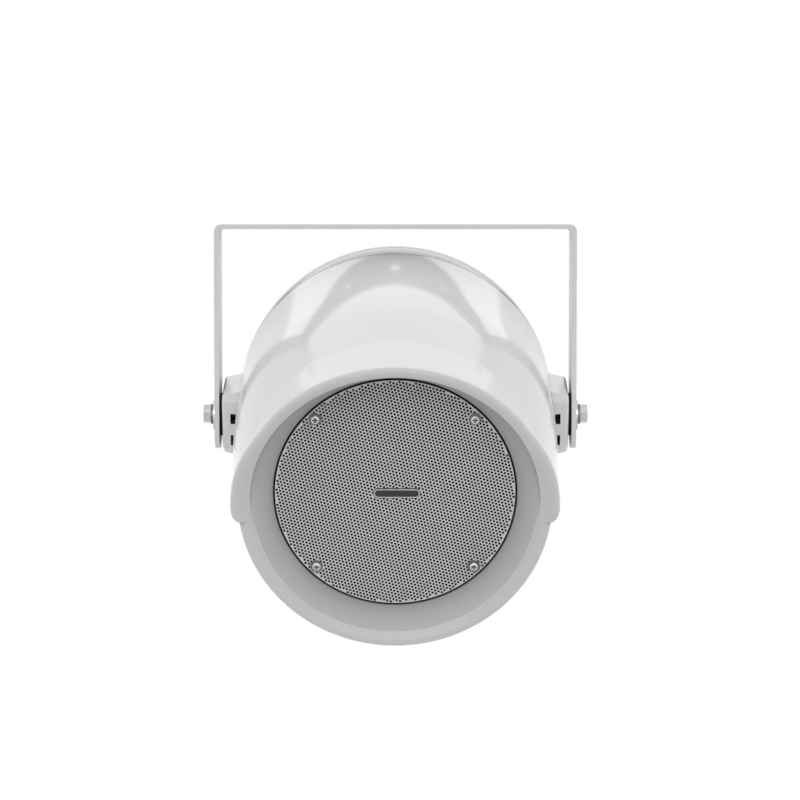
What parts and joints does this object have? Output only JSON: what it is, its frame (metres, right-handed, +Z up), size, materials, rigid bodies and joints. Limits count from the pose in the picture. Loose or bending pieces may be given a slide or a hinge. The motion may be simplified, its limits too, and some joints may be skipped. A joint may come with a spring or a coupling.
{
  "type": "sound projector loudspeaker",
  "caption": "Bell-shaped hooded loudspeaker housing with a round perforated grille over a cone driver, tilting between the legs of a U-shaped mounting bracket.",
  "frame": {"origin": "centre of the bracket bar's top face, on the axis of its central hole", "axes": "+Z up out of the bar's top face, +X along the bar to the right as seen facing the grille, +Y to the back"},
  "size_m": [0.2872, 0.3808, 0.2972],
  "materials": {
    "bracket_paint": "light grey powder coat on bent steel strip",
    "housing_plastic": "glossy light grey moulded ABS",
    "zinc_steel": "zinc plated steel fasteners",
    "black_rubber": "matt black rubber",
    "insert_brass": "knurled brass",
    "grille_metal": "light grey painted perforated steel sheet",
    "screen_cloth": "black acoustic cloth",
    "badge_metal": "bare stamped plate with a raised bright border",
    "basket_paint": "black coated pressed steel",
    "magnet_ferrite": "dark sintered ferrite",
    "motor_steel": "zinc plated soft iron",
    "core_steel": "stacked varnished laminations",
    "coil_copper": "copper winding on a thin former",
    "cone_paper": "pressed black paper",
    "spider_cloth": "resin treated corrugated cloth",
    "winding_tape": "taped winding on a bobbin",
    "gland_plastic": "matt grey polyamide",
    "board_fibre": "fibre board with tags"
  },
  "bodies": {
    "bracket": {"mounting_bracket": "bracket_paint"},
    "head": {"front_housing": "housing_plastic", "rear_cover": "housing_plastic", "pivot_block_left": "housing_plastic", "pivot_block_right": "housing_plastic", "pivot_bolt_left": "zinc_steel", "pivot_bolt_right": "zinc_steel", "flat_washer_left": "zinc_steel", "flat_washer_right": "zinc_steel", "spring_washer_left": "zinc_steel", "spring_washer_right": "zinc_steel", "cover_screws": "zinc_steel", "block_screws": "zinc_steel", "driver_nuts": "zinc_steel", "transformer_screws": "zinc_steel", "grille_screws": "zinc_steel", "grille_washers": "zinc_steel", "rubber_washer_left": "black_rubber", "rubber_washer_right": "black_rubber", "cover_seal": "black_rubber", "driver_gasket": "black_rubber", "gland_seal": "black_rubber", "surround": "black_rubber", "threaded_insert_left": "insert_brass", "threaded_insert_right": "insert_brass", "grille": "grille_metal", "dust_screen": "screen_cloth", "badge": "badge_metal", "driver_frame": "basket_paint", "magnet": "magnet_ferrite", "top_plate": "motor_steel", "yoke": "motor_steel", "transformer_strap": "motor_steel", "transformer_core": "core_steel", "spider": "spider_cloth", "transformer_winding": "winding_tape", "gland_body": "gland_plastic", "gland_nut": "gland_plastic", "gland_lock_nut": "gland_plastic", "terminal_strip": "board_fibre"},
    "cone": {"cone": "cone_paper", "dust_cap": "cone_paper", "voice_coil": "coil_copper"}
  },
  "joints": [
    {"name": "tilt", "type": "hinge", "parent": "bracket", "child": "head", "pos_m": [0, 0, -0.142], "axis": [1, 0, 0], "range_deg": [-37, 28]},
    {"name": "cone_travel", "type": "slide", "parent": "head", "child": "cone", "axis": [0, -0.9563, -0.2924], "range_m": [-0.0025, 0.0025], "stiffness_N_per_m": 1500}
  ]
}
